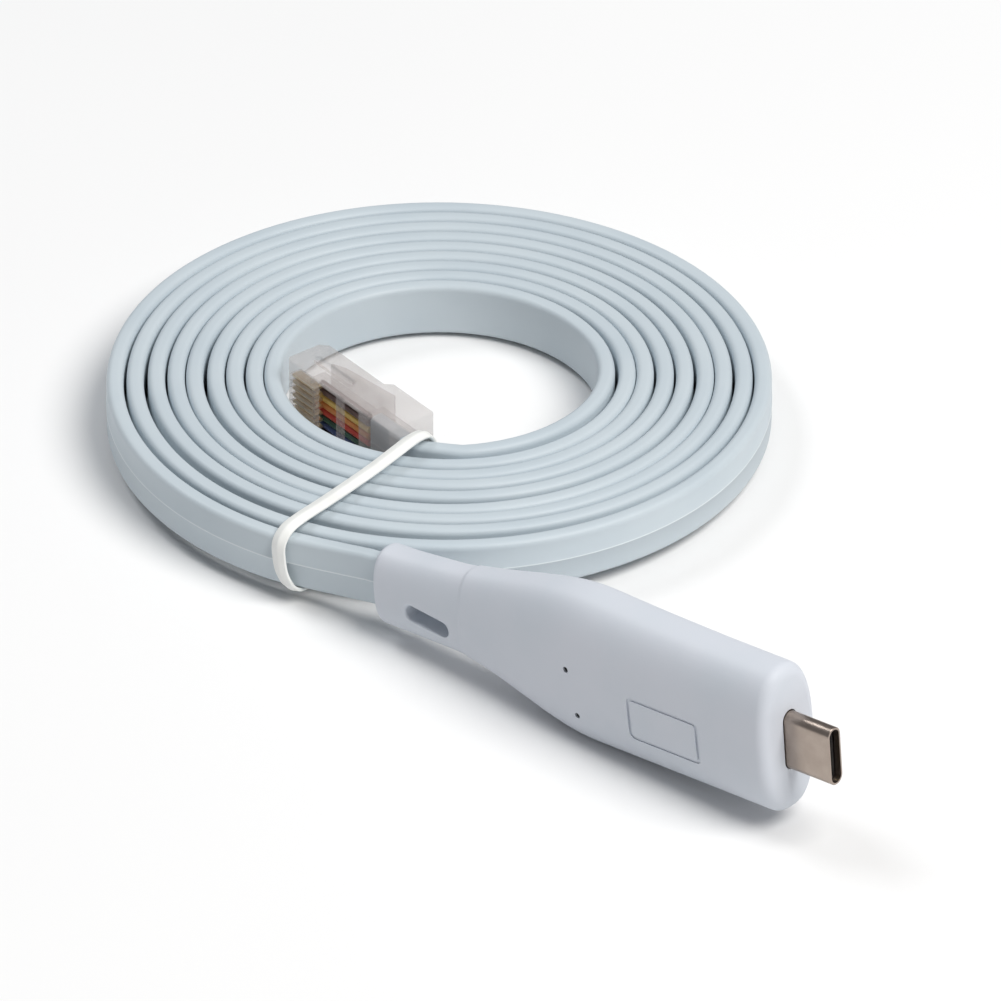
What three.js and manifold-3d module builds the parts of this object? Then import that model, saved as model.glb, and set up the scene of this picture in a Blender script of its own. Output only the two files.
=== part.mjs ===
// Console cable: a flat eight-core cord coiled on its edge, with a clear modular plug inside the coil
// and a moulded housing with a small reversible plug on the outer end. Millimetres, +Z up.
// The housing lies along +X on its narrow edge; its box centre on the surface is the origin.
import * as THREE from 'three';
import { mergeVertices } from 'three/addons/utils/BufferGeometryUtils.js';
import Module from 'manifold-3d';

const wasm = await Module();
wasm.setup();

// Clearances
const looseGap = 0.3;
const slotGap = 0.14;
// A round end is drawn just short of half its width
const roundShare = 0.499;

// Moulded housing: neck at x = 0, flat end face at x = housingLength
const housingLength = 67.5;
const housingPitch = 4.6;
const neckHeight = 11.3;
const neckWidth = 6.8;
const neckLength = 15;
const ridgeStep = 0.18;
const ridgeBlend = 0.15;
const bodyHeight = 20.8;
const bodyWidth = 10.6;
const flareLength = 22;
const flareLead = 3;
const sectionPower = 2.7;
const sectionPoints = 36;
const endFillet = 1.6;
const neckFillet = 0.9;

// Bending slot through the neck
const slotStart = 5.6;
const slotLength = 7.2;
const slotHeight = 2.2;

// Indicator pinholes on the side of the body
const pinholeRadius = 0.42;
const pinholeDepth = 0.8;
const pinholePlaces = [[34.6, 1.3], [35.8, -5.2]];

// Sunk outline of the label field
const labelLength = 11.8;
const labelHeight = 6.3;
const labelCentre = [50.6, -2.2];
const labelCorner = 0.9;
const labelLine = 0.35;
const labelDepth = 0.2;

// Reversible plug at the end face
const shellHeight = 8.25;
const shellWidth = 2.4;
const shellReach = 7.3;
const shellWall = 0.3;
const shellSeat = 1.8;
const insulatorSetback = 1.0;
const tongueSlotHeight = 6.5;
const tongueSlotWidth = 0.74;
const tongueSlotDepth = 4.6;

// Flat cord
const cordWidth = 7.4;
const cordThickness = 2.25;
const cordCorner = 0.75;

// Coil, standing on its edge and a little lifted where the tie holds it
const coilCentre = [-64.25, 40.8];
const coilTurns = 9;
const coilBore = 20.2;
const coilPitch = 2.606;
const coilGrooveDepth = 0.7;
const coilLift = 2.1;
const coilLiftAngle = 292;

// Cord from the coil to the housing's neck: the middle of its width
const outerTail = [
  [-47.7, -0.95, 5.9],
  [-45.2, -0.5, 6.25],
  [-42.6, -0.2, 6.65],
  [-40.2, -0.03, 7.1],
  [-38.1, 0, 7.4],
];

// Modular plug, lying on its side inside the coil: x from its cord end to its nose
const plugLength = 21.9;
const plugWidth = 11.68;
const plugThickness = 6.3;
const plugPlace = [-55.4, 24.8];
const plugHeading = 168.7;
const hoodLength = 8.4;
const hoodRise = 0.95;
const hoodSlope = 0.9;
const plugChamfer = 0.5;
const startReach = 4.2;
const cordSocketDepth = 7.0;
const wireSpaceEnd = 17.4;
const wireSpaceHeight = 1.3;
const pocketDepth = 1.6;
const pocketHalfWidth = 4.5;
const pocketSpans = [[7.6, 10.5], [12.1, 15.7]];
const sideGrooveSpan = [11.6, 19.8];
const sideGrooveWidth = 1.1;
const sideGrooveDepth = 0.5;

// Latch lever, moulded with the plug
const latchWidth = 6.2;
const latchThickness = 1.0;
const latchRoot = 20.6;
const latchTip = 9.4;
const latchTipRise = 2.0;
const latchSink = 0.4;
const latchNose = 0.2;
const latchGap = 0.3;

// Contacts and conductors
const wayCount = 8;
const wayPitch = 1.02;
const contactThickness = 0.34;
const contactStart = 16.3;
const contactEnd = 21.0;
const contactSink = 0.35;
const wireRadius = 0.34;
const wireDepth = 1.0;
const wireStart = 7.4;
const wireEnd = 17.1;
const wireColors = [0x4a4038, 0x5b4a3e, 0xe0b23c, 0xd98a34, 0xc8402c, 0x2f6b4a, 0x3a4f8c, 0x35302e];

// Tie round the bundle
const tieWidth = 2.1;
const tieThickness = 0.5;
const tieInner = [-52.75, 25.85];
const tieOuter = [-52.2, -3.5];
const tieRoom = 8.9;
const tieRound = 1.6;

const plastic = (color, roughness) => new THREE.MeshStandardMaterial({ color, roughness, metalness: 0 });
const metal = (color, roughness) => new THREE.MeshStandardMaterial({ color, roughness, metalness: 1 });

const coverBlue = () => plastic(0xccd3dd, 0.5);
const cordBlue = () => plastic(0xc6d2d8, 0.42);
const clearPlastic = () => new THREE.MeshStandardMaterial({
  color: 0xd9d6d2, roughness: 0.08, metalness: 0, transparent: true, opacity: 0.45,
});

function radians(degrees) {
  return degrees * Math.PI / 180;
}

function toSolid(geometry) {
  const bare = geometry.clone();
  for (const name of Object.keys(bare.attributes)) {
    if (name !== 'position') bare.deleteAttribute(name);
  }
  const merged = mergeVertices(bare, 1e-5);
  return new wasm.Manifold(new wasm.Mesh({
    numProp: 3,
    vertProperties: new Float32Array(merged.attributes.position.array),
    triVerts: new Uint32Array(merged.index.array),
  }));
}

function toGeometry(solid) {
  const mesh = solid.getMesh();
  const geometry = new THREE.BufferGeometry();
  geometry.setAttribute('position', new THREE.BufferAttribute(new Float32Array(mesh.vertProperties), 3));
  geometry.setIndex(new THREE.BufferAttribute(new Uint32Array(mesh.triVerts), 1));
  geometry.computeVertexNormals();
  return geometry;
}

function cut(geometry, tools) {
  let solid = toSolid(geometry);
  for (const tool of tools) {
    solid = solid.subtract(toSolid(tool));
  }
  return toGeometry(solid);
}

function join(geometries) {
  let solid = toSolid(geometries[0]);
  for (const other of geometries.slice(1)) {
    solid = solid.add(toSolid(other));
  }
  return toGeometry(solid);
}

function boxBetween(low, high) {
  const box = new THREE.BoxGeometry(high[0] - low[0], high[1] - low[1], high[2] - low[2]);
  box.translate((low[0] + high[0]) / 2, (low[1] + high[1]) / 2, (low[2] + high[2]) / 2);
  return box;
}

function roundedRectangle(width, height, radius) {
  const shape = new THREE.Shape();
  const x = width / 2 - radius;
  const y = height / 2 - radius;
  shape.absarc(x, y, radius, 0, Math.PI / 2, false);
  shape.absarc(-x, y, radius, Math.PI / 2, Math.PI, false);
  shape.absarc(-x, -y, radius, Math.PI, 1.5 * Math.PI, false);
  shape.absarc(x, -y, radius, 1.5 * Math.PI, 2 * Math.PI, false);
  return shape;
}

// A shape's x stays across (Y), its y goes up (Z), and the depth runs along X
function layAlongX(geometry) {
  const turn = new THREE.Matrix4().set(
    0, 0, 1, 0,
    1, 0, 0, 0,
    0, 1, 0, 0,
    0, 0, 0, 1,
  );
  geometry.applyMatrix4(turn);
  return geometry;
}

// A shape drawn in X and Z, its depth running along +Y from yStart
function layAcrossY(geometry, yStart) {
  geometry.rotateX(Math.PI / 2);
  geometry.translate(0, yStart, 0);
  return geometry;
}

function named(name, geometry, material) {
  const mesh = new THREE.Mesh(geometry, material);
  mesh.name = name;
  return mesh;
}

const smooth = (t) => t * t * (3 - 2 * t);

// Share of the way from the neck's size to the body's size at a place along the housing
function flareShare(x) {
  const t = Math.min(Math.max((x - neckLength + flareLead) / (flareLength + flareLead), 0), 1);
  return smooth(t);
}

function filletInset(distance, radius) {
  if (distance >= radius) return 0;
  return radius - Math.sqrt(radius * radius - (radius - distance) ** 2);
}

function housingSize(x) {
  const share = flareShare(x);
  const ridge = x < neckLength ? -ridgeStep : 0;
  const inset = filletInset(x, neckFillet) + filletInset(housingLength - x, endFillet);
  return {
    height: neckHeight + (bodyHeight - neckHeight) * share + 2 * (ridge - inset),
    width: neckWidth + (bodyWidth - neckWidth) * share + 2 * (ridge - inset),
  };
}

function housingStations() {
  const stations = [];
  const filletSteps = 4;
  for (let i = 0; i <= filletSteps; i += 1) {
    stations.push(neckFillet * (1 - Math.cos(i / filletSteps * Math.PI / 2)));
  }
  for (const share of [0.4, 0.75]) stations.push(neckLength * share);
  stations.push(neckLength - ridgeBlend / 10, neckLength + ridgeBlend);
  const flareSteps = 9;
  for (let i = 1; i <= flareSteps; i += 1) {
    stations.push(neckLength + ridgeBlend + (flareLength - ridgeBlend) * i / flareSteps);
  }
  for (let i = filletSteps; i >= 0; i -= 1) {
    stations.push(housingLength - endFillet * (1 - Math.cos(i / filletSteps * Math.PI / 2)));
  }
  return stations;
}

// The housing's section: its sides and edges are crowned, with no flat between them
function crownedSection() {
  const points = [];
  for (let i = 0; i < sectionPoints; i += 1) {
    const angle = 2 * Math.PI * i / sectionPoints;
    const across = Math.cos(angle);
    const up = Math.sin(angle);
    points.push(new THREE.Vector2(
      bodyWidth / 2 * Math.sign(across) * Math.abs(across) ** (2 / sectionPower),
      bodyHeight / 2 * Math.sign(up) * Math.abs(up) ** (2 / sectionPower),
    ));
  }
  return new THREE.Shape(points);
}

function housingShell() {
  const stations = housingStations();
  const steps = stations.length - 1;
  const loft = new THREE.ExtrudeGeometry(crownedSection(), { depth: steps, steps, bevelEnabled: false });
  layAlongX(loft);
  const position = loft.attributes.position;
  for (let i = 0; i < position.count; i += 1) {
    const x = stations[Math.round(position.getX(i))];
    const size = housingSize(x);
    position.setXYZ(
      i, x,
      position.getY(i) * size.width / bodyWidth,
      position.getZ(i) * size.height / bodyHeight,
    );
  }
  return loft;
}

function neckSlot() {
  const shape = roundedRectangle(slotLength, slotHeight, slotHeight * roundShare);
  const tool = new THREE.ExtrudeGeometry(shape, {
    depth: bodyWidth * 2, bevelEnabled: false, curveSegments: 5,
  });
  layAcrossY(tool, bodyWidth);
  tool.translate(slotStart + slotLength / 2, 0, 0);
  return tool;
}

// Half the housing's width at a place on its side, seen along Y
function sideAt(x, z) {
  const size = housingSize(x);
  const share = Math.min(Math.abs(z) / (size.height / 2), 1);
  return size.width / 2 * (1 - share ** sectionPower) ** (1 / sectionPower);
}

function pinhole([x, z]) {
  const drill = new THREE.CylinderGeometry(pinholeRadius, pinholeRadius, 2 * pinholeDepth, 12);
  drill.translate(x, -sideAt(x, z), z);
  return drill;
}

// The label field leans with the crowned side, so that its line is sunk alike all round
function labelOutline() {
  const outer = roundedRectangle(labelLength, labelHeight, labelCorner);
  const inner = roundedRectangle(labelLength - 2 * labelLine, labelHeight - 2 * labelLine, labelCorner - labelLine);
  outer.holes.push(new THREE.Path(inner.getPoints(4).reverse()));
  const frame = new THREE.ExtrudeGeometry(outer, { depth: 2 * labelDepth, bevelEnabled: false, curveSegments: 4 });
  const [x, z] = labelCentre;
  const top = sideAt(x, z + labelHeight / 2);
  const bottom = sideAt(x, z - labelHeight / 2);
  layAcrossY(frame, labelDepth);
  frame.rotateX(Math.atan2(top - bottom, labelHeight));
  frame.translate(x, -(top + bottom) / 2, z);
  return frame;
}

function stadium(height, width, from, to) {
  const shape = roundedRectangle(width, height, width * roundShare);
  const block = new THREE.ExtrudeGeometry(shape, { depth: to - from, bevelEnabled: false, curveSegments: 5 });
  layAlongX(block);
  block.translate(from, 0, 0);
  return block;
}

function usbHousing() {
  const seat = stadium(
    shellHeight + 2 * slotGap, shellWidth + 2 * slotGap,
    housingLength - shellSeat - looseGap, housingLength + 1,
  );
  const tools = [neckSlot(), labelOutline(), seat, ...pinholePlaces.map(pinhole)];
  return named('usb_housing', cut(housingShell(), tools), coverBlue());
}

function usbShell() {
  const start = housingLength - shellSeat;
  const end = housingLength + shellReach;
  const tube = stadium(shellHeight, shellWidth, start, end);
  const hollow = stadium(shellHeight - 2 * shellWall, shellWidth - 2 * shellWall, start - 1, end + 1);
  return named('usb_c_shell', cut(tube, [hollow]), metal(0x9a938c, 0.28));
}

function usbInsulator() {
  const fit = 2 * (shellWall + slotGap);
  const end = housingLength + shellReach - insulatorSetback;
  const block = stadium(shellHeight - fit, shellWidth - fit, housingLength - shellSeat, end);
  const slot = boxBetween(
    [end - tongueSlotDepth, -tongueSlotWidth / 2, -tongueSlotHeight / 2],
    [end + 1, tongueSlotWidth / 2, tongueSlotHeight / 2],
  );
  return named('usb_c_insulator', cut(block, [slot]), plastic(0x1c1b1c, 0.5));
}

// The housing and its plug, turned nose up and set down on the surface
function usbEnd() {
  const end = new THREE.Group();
  end.add(usbHousing(), usbShell(), usbInsulator());
  end.rotation.y = -radians(housingPitch);
  const box = new THREE.Box3().setFromObject(end, true);
  const centre = box.getCenter(new THREE.Vector3());
  end.position.set(-centre.x, -centre.y, -box.min.z);
  return end;
}

// The coil's section: each turn's rounded edge shows on the top and on the underside
function coilProfile() {
  const half = cordWidth / 2;
  const points = [];
  for (let turn = 0; turn < coilTurns; turn += 1) {
    const inner = coilBore + turn * coilPitch;
    const outer = inner + cordThickness;
    points.push(new THREE.Vector2(inner + cordCorner / 2, -half), new THREE.Vector2(outer - cordCorner / 2, -half));
    if (turn < coilTurns - 1) {
      points.push(new THREE.Vector2((outer + inner + coilPitch) / 2, -half + coilGrooveDepth));
    }
  }
  const outerFace = coilBore + (coilTurns - 1) * coilPitch + cordThickness;
  points.push(new THREE.Vector2(outerFace, -half + cordCorner), new THREE.Vector2(outerFace, half - cordCorner));
  for (const point of points.slice(0, -2).reverse()) {
    points.push(new THREE.Vector2(point.x, -point.y));
  }
  points.push(new THREE.Vector2(coilBore, half - cordCorner), new THREE.Vector2(coilBore, -half + cordCorner));
  points.push(points[0].clone());
  return points;
}

// Room for the plug and for the first stretch of the cord, in the plug's own frame
function plugRoom() {
  const side = plugThickness / 2 + looseGap;
  return boxBetween(
    [-startReach - looseGap, -side, -plugWidth],
    [plugLength + looseGap, side + hoodRise, plugWidth],
  );
}

// The coil is a ring that lies on its far edge and is lifted on the side of the tie
function coilFrame() {
  const frame = new THREE.Group();
  const radius = coilBore + (coilTurns - 1) * coilPitch + cordThickness;
  const tilt = Math.asin(coilLift / (2 * radius));
  const rise = radius * Math.sin(tilt) + cordWidth / 2 * Math.cos(tilt);
  const axis = new THREE.Vector3(-Math.sin(radians(coilLiftAngle)), Math.cos(radians(coilLiftAngle)), 0);
  frame.quaternion.setFromAxisAngle(axis, -tilt);
  frame.position.set(coilCentre[0], coilCentre[1], rise);
  frame.updateMatrixWorld(true);
  return frame;
}

function plugFrame() {
  const frame = new THREE.Group();
  frame.rotation.set(Math.PI, 0, radians(plugHeading), 'ZYX');
  frame.position.set(plugPlace[0], plugPlace[1], plugWidth / 2);
  frame.updateMatrixWorld(true);
  return frame;
}

function coil() {
  const frame = coilFrame();
  const ring = new THREE.LatheGeometry(coilProfile(), 48);
  ring.rotateX(Math.PI / 2);
  const room = plugRoom();
  room.applyMatrix4(plugFrame().matrixWorld);
  room.applyMatrix4(frame.matrixWorld.clone().invert());
  frame.add(named('cable_coil', cut(ring, [room]), cordBlue()));
  return frame;
}

function cordTube(name, points, steps) {
  const shape = new THREE.Shape([
    new THREE.Vector2(-cordWidth / 2, -cordThickness / 2 + cordCorner),
    new THREE.Vector2(-cordWidth / 2 + cordCorner, -cordThickness / 2),
    new THREE.Vector2(cordWidth / 2 - cordCorner, -cordThickness / 2),
    new THREE.Vector2(cordWidth / 2, -cordThickness / 2 + cordCorner),
    new THREE.Vector2(cordWidth / 2, cordThickness / 2 - cordCorner),
    new THREE.Vector2(cordWidth / 2 - cordCorner, cordThickness / 2),
    new THREE.Vector2(-cordWidth / 2 + cordCorner, cordThickness / 2),
    new THREE.Vector2(-cordWidth / 2, cordThickness / 2 - cordCorner),
  ]);
  const path = new THREE.CatmullRomCurve3(points.map((p) => new THREE.Vector3(...p)));
  const tube = new THREE.ExtrudeGeometry(shape, { extrudePath: path, steps, bevelEnabled: false });
  return named(name, tube, cordBlue());
}

// The clear body: rounded block, raised hood, latch, socket for the cord, pockets and contact slots
function plugBlock() {
  const half = plugThickness / 2;
  const c = plugChamfer;
  const outline = new THREE.Shape([
    new THREE.Vector2(0, -half),
    new THREE.Vector2(plugLength - c, -half),
    new THREE.Vector2(plugLength, -half + c),
    new THREE.Vector2(plugLength, half - 2 * c),
    new THREE.Vector2(plugLength - 2 * c, half),
    new THREE.Vector2(hoodLength + hoodSlope, half),
    new THREE.Vector2(hoodLength, half + hoodRise),
    new THREE.Vector2(0, half + hoodRise),
  ]);
  const block = new THREE.ExtrudeGeometry(outline, { depth: plugWidth, bevelEnabled: false });
  block.translate(0, 0, -plugWidth / 2);
  return block;
}

function latch() {
  const half = plugThickness / 2;
  const rootBack = latchRoot - 2 * latchThickness;
  const outline = new THREE.Shape([
    new THREE.Vector2(latchRoot, half - latchSink),
    new THREE.Vector2(latchRoot, half + latchNose),
    new THREE.Vector2(rootBack, half + latchThickness),
    new THREE.Vector2(latchTip, half + latchTipRise),
    new THREE.Vector2(latchTip, half + latchTipRise - latchThickness),
    new THREE.Vector2(rootBack, half + latchGap),
    new THREE.Vector2(rootBack, half - latchSink),
  ]);
  const lever = new THREE.ExtrudeGeometry(outline, { depth: latchWidth, bevelEnabled: false });
  lever.translate(0, 0, -latchWidth / 2);
  return lever;
}

function sideGroove(side) {
  const [from, to] = sideGrooveSpan;
  const shape = roundedRectangle(to - from, sideGrooveWidth, sideGrooveWidth * roundShare);
  const tool = new THREE.ExtrudeGeometry(shape, { depth: 2 * sideGrooveDepth, bevelEnabled: false, curveSegments: 4 });
  tool.translate((from + to) / 2, 0, side * plugWidth / 2 - sideGrooveDepth);
  return tool;
}

function wayPlace(way) {
  return (way - (wayCount - 1) / 2) * wayPitch;
}

function plugBody() {
  const half = plugThickness / 2;
  const socket = boxBetween(
    [-1, -cordThickness / 2 - looseGap, -cordWidth / 2 - looseGap],
    [cordSocketDepth + looseGap, cordThickness / 2 + looseGap, cordWidth / 2 + looseGap],
  );
  const wireHalf = wayPlace(wayCount - 1) + wireRadius + slotGap;
  const wireSpace = boxBetween(
    [cordSocketDepth, -wireDepth - wireSpaceHeight / 2, -wireHalf],
    [wireSpaceEnd, -wireDepth + wireSpaceHeight / 2, wireHalf],
  );
  const pockets = pocketSpans.map(([from, to]) => boxBetween(
    [from, -half - 1, -pocketHalfWidth],
    [to, -half + pocketDepth, pocketHalfWidth],
  ));
  const slots = [];
  for (let way = 0; way < wayCount; way += 1) {
    const z = wayPlace(way);
    const reach = contactThickness / 2 + slotGap;
    slots.push(boxBetween(
      [contactStart - slotGap, -half - 1, z - reach],
      [contactEnd + slotGap, -wireDepth - wireRadius, z + reach],
    ));
  }
  const solid = join([plugBlock(), latch()]);
  return named(
    'rj45_plug_body',
    cut(solid, [socket, wireSpace, ...pockets, ...slots, sideGroove(1), sideGroove(-1)]),
    clearPlastic(),
  );
}

function contact(way) {
  const z = wayPlace(way);
  const blade = boxBetween(
    [contactStart, -plugThickness / 2 + contactSink, z - contactThickness / 2],
    [contactEnd, -wireDepth - wireRadius - slotGap, z + contactThickness / 2],
  );
  return named(`rj45_contact_${way + 1}`, blade, metal(0xd9b45a, 0.25));
}

function wire(way) {
  const core = new THREE.CylinderGeometry(wireRadius, wireRadius, wireEnd - wireStart, 8);
  core.rotateZ(Math.PI / 2);
  core.translate((wireStart + wireEnd) / 2, -wireDepth, wayPlace(way));
  return named(`wire_${way + 1}`, core, plastic(wireColors[way], 0.45));
}

function modularPlug() {
  const frame = plugFrame();
  frame.add(plugBody());
  for (let way = 0; way < wayCount; way += 1) {
    frame.add(contact(way), wire(way));
  }
  const inner = cordTube('cable_start', [
    [-startReach, 0, 0],
    [0, 0, 0],
    [cordSocketDepth, 0, 0],
  ], 4);
  frame.add(inner);
  return frame;
}

// A flat band round the whole bundle, standing on edge across it
function tie() {
  const inner = new THREE.Vector2(...tieInner);
  const outer = new THREE.Vector2(...tieOuter);
  const span = inner.distanceTo(outer);
  const band = roundedRectangle(span + 2 * tieThickness, tieRoom + 2 * tieThickness, tieRound + tieThickness);
  const room = roundedRectangle(span, tieRoom, tieRound);
  band.holes.push(new THREE.Path(room.getPoints(5).reverse()));
  const loop = new THREE.ExtrudeGeometry(band, { depth: tieWidth, bevelEnabled: false, curveSegments: 5 });
  layAcrossY(loop, tieWidth / 2);
  const middle = inner.clone().add(outer).multiplyScalar(0.5);
  loop.rotateZ(Math.atan2(outer.y - inner.y, outer.x - inner.x));
  loop.translate(middle.x - coilCentre[0], middle.y - coilCentre[1], 0);
  const frame = coilFrame();
  frame.add(named('coil_tie', loop, plastic(0xf3f4f1, 0.6)));
  return frame;
}

const cable = new THREE.Group();
cable.add(usbEnd(), coil(), modularPlug(), cordTube('cable_tail', outerTail, 8), tie());
cable.updateMatrixWorld(true);

export default cable;
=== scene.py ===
import math

import bmesh
import bpy
from mathutils import Matrix, Vector


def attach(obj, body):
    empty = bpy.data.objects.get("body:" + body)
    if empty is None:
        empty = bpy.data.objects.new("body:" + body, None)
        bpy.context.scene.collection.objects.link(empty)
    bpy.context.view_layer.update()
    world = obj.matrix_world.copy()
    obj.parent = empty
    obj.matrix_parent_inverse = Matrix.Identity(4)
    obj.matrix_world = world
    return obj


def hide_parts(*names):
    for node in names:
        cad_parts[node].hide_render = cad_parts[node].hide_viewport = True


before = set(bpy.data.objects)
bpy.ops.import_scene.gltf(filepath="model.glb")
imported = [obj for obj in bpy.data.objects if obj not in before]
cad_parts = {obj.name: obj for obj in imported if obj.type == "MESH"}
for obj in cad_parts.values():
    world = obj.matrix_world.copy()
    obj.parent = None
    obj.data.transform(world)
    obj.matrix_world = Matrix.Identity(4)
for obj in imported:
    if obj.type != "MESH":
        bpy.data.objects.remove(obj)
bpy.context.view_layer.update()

# console cable: flat cord coiled on its edge, a clear modular plug, a moulded housing with a metal plug
mm = 0.001
roundShare = 0.499  # a round end is drawn just short of half its width
toolReach = 1.0  # how far a cutting tool stands out past what it cuts


def srgb(red, green, blue):
    def linear(value):
        value /= 255
        return value / 12.92 if value <= 0.04045 else ((value + 0.055) / 1.055) ** 2.4
    return (linear(red), linear(green), linear(blue), 1.0)


def smoothStep(t):
    t = min(max(t, 0.0), 1.0)
    return t * t * (3 - 2 * t)


def finishPiece(name, bm, place=None, sharpAngle=35):
    if place is not None:
        bmesh.ops.transform(bm, matrix=place, verts=bm.verts)
    bmesh.ops.recalc_face_normals(bm, faces=bm.faces)
    mesh = bpy.data.meshes.new(name)
    bm.to_mesh(mesh)
    bm.free()
    mesh.shade_smooth()
    mesh.set_sharp_from_angle(angle=math.radians(sharpAngle))
    piece = bpy.data.objects.new(name, mesh)
    bpy.context.scene.collection.objects.link(piece)
    return piece


def applyModifiers(piece, sharpAngle):
    depsgraph = bpy.context.evaluated_depsgraph_get()
    finished = bpy.data.meshes.new_from_object(piece.evaluated_get(depsgraph))
    piece.modifiers.clear()
    rough = piece.data
    piece.data = finished
    bpy.data.meshes.remove(rough)
    finished.shade_smooth()
    finished.set_sharp_from_angle(angle=math.radians(sharpAngle))


def cutWith(piece, cutters, sharpAngle=35):
    for cutter in cutters:
        tool = piece.modifiers.new("cut", "BOOLEAN")
        tool.operation = "DIFFERENCE"
        tool.solver = "EXACT"
        tool.object = cutter
    applyModifiers(piece, sharpAngle)
    for cutter in cutters:
        mesh = cutter.data
        bpy.data.objects.remove(cutter)
        bpy.data.meshes.remove(mesh)


def newFaces(made):
    return [item for item in made["geom"] if isinstance(item, bmesh.types.BMFace)]


def newVerts(made):
    return [item for item in made["geom"] if isinstance(item, bmesh.types.BMVert)]


# a flat rounded face in the YZ plane, ready to be drawn out along X
def roundedFace(bm, width, height, radius, segments):
    made = bmesh.ops.create_grid(bm, x_segments=1, y_segments=1, size=0.5)
    bmesh.ops.scale(bm, vec=(height, width, 1), verts=made["verts"])
    bmesh.ops.bevel(
        bm, geom=made["verts"], offset=radius, offset_type="OFFSET", segments=segments,
        profile=0.5, affect="VERTICES", material=-1, clamp_overlap=True,
    )
    bmesh.ops.rotate(bm, cent=(0, 0, 0), matrix=Matrix.Rotation(math.radians(-90), 3, "Y"), verts=bm.verts)
    bmesh.ops.remove_doubles(bm, verts=bm.verts, dist=0.0005)
    return list(bm.faces)


# the same face with its height along X and its width along Z, ready to be drawn out along Y
def roundedSideFace(bm, width, height, radius, segments):
    faces = roundedFace(bm, width, height, radius, segments)
    turn = Matrix(((0, 0, 1), (1, 0, 0), (0, 1, 0)))
    bmesh.ops.transform(bm, matrix=turn.to_4x4(), verts=bm.verts)
    return faces


# faces drawn out with their edges, so that none stays behind inside the block
def drawOut(bm, faces, reach):
    edges = {edge for face in faces for edge in face.edges}
    verts = {vert for face in faces for vert in face.verts}
    made = bmesh.ops.extrude_face_region(bm, geom=list(faces) + list(edges) + list(verts))
    bmesh.ops.translate(bm, vec=reach, verts=newVerts(made))
    return newFaces(made), newVerts(made)


def addBox(bm, low, high):
    made = bmesh.ops.create_cube(bm, size=1)
    bmesh.ops.scale(bm, vec=[b - a for a, b in zip(low, high)], verts=made["verts"])
    bmesh.ops.translate(bm, vec=[(a + b) / 2 for a, b in zip(low, high)], verts=made["verts"])
    return made["verts"]


def catmullRom(points, steps):
    line = []
    for i in range(len(points) - 1):
        a = points[max(i - 1, 0)]
        b, c = points[i], points[i + 1]
        d = points[min(i + 2, len(points) - 1)]
        for k in range(steps):
            t = k / steps
            bend = (2 * a - 5 * b + 4 * c - d) * t ** 2 + (3 * b - a - 3 * c + d) * t ** 3
            line.append(0.5 * (2 * b + (c - a) * t + bend))
    line.append(points[-1])
    return line


def evenly(line, spacing):
    even = [line[0]]
    carried = 0.0
    for a, b in zip(line, line[1:]):
        step = (b - a).length
        while step > 0 and carried + step >= spacing:
            a = a.lerp(b, (spacing - carried) / step)
            even.append(a)
            step = (b - a).length
            carried = 0.0
        carried += step
    if (even[-1] - line[-1]).length < spacing * 0.4:
        even.pop()
    even.append(line[-1])
    return even


# a closed ring of edges through these places, each kept in the named layer as (along, across, outward)
def startRing(bm, layerName, section):
    space = bm.verts.layers.float_vector.new(layerName)
    verts = []
    for across, outward in section:
        vert = bm.verts.new((across, outward, 0))
        vert[space] = (0, across, outward)
        verts.append(vert)
    ring = [bm.edges.new((a, b)) for a, b in zip(verts, verts[1:] + verts[:1])]
    return space, verts, ring


def nextRing(bm, ring):
    made = bmesh.ops.extrude_edge_only(bm, edges=ring)
    verts = newVerts(made)
    fresh = set(verts)
    edges = [item for item in made["geom"] if isinstance(item, bmesh.types.BMEdge)]
    return verts, [edge for edge in edges if edge.verts[0] in fresh and edge.verts[1] in fresh]


# camera, far off because the photograph is almost free of perspective
view = dict(
    centre=(-61.86, 40.1, 0.0), turn=40.9, elevation=33.3,
    offset=(6.7143, -2094.44, 1365.07), focalPixels=19250.0, imagePixels=1001, sensor=36.0,
)


def makeCamera():
    turn = Matrix.Rotation(math.radians(view["turn"]), 4, "Z")
    place = Vector(view["centre"]) + turn @ Vector(view["offset"])
    data = bpy.data.cameras.new("camera")
    data.sensor_width = view["sensor"]
    data.lens = view["focalPixels"] / view["imagePixels"] * view["sensor"]
    data.clip_start = 0.1
    data.clip_end = 20
    camera = bpy.data.objects.new("camera", data)
    camera.location = place * mm
    camera.rotation_euler = (math.radians(90 - view["elevation"]), 0, math.radians(view["turn"]))
    bpy.context.scene.collection.objects.link(camera)
    bpy.context.scene.camera = camera


makeCamera()
print("camera ready")


# flat cord on its edge: out of the modular plug, round the coil, into the housing
cord = dict(
    centre=(-61.86, 40.1), startAngle=296.9, width=7.4, thickness=2.25,
    turns=8.955, pointsPerTurn=64, joinTurn=0.055,
    plugEnd=(-55.4, 24.8, 5.84), plugHeading=168.7, plugInside=6.6, plugLead=1.6, settleTurns=0.35,
    firstAngle=256, firstRadius=20.3, firstLean=(-0.645, 1.925), leastGap=0.05,
    ringCentre=(-64.25, 40.8), ringRise=4.75, liftSlope=0.02425, liftAngle=292.0,
    corner=0.82, cornerSteps=6, seamRise=0.06, seamWidth=0.26, ringSpacing=1.8,
)
# space between a turn and the next one out: front, right, back, left, from the innermost turn
cordGaps = [
    0.06, 0.50, 0.22, 0.12,
    0.40, 0.10, 0.18, 0.32,
    0.10, 0.36, 0.22, 0.20,
    0.46, 0.34, 0.18, 0.42,
    0.95, 0.48, 0.24, 0.16,
    0.12, 0.10, 0.20, 0.30,
    0.36, 0.42, 0.22, 0.36,
    1.45, 0.34, 0.24, 0.30,
    0.90, 0.90, 0.90, 0.90,
]
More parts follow.
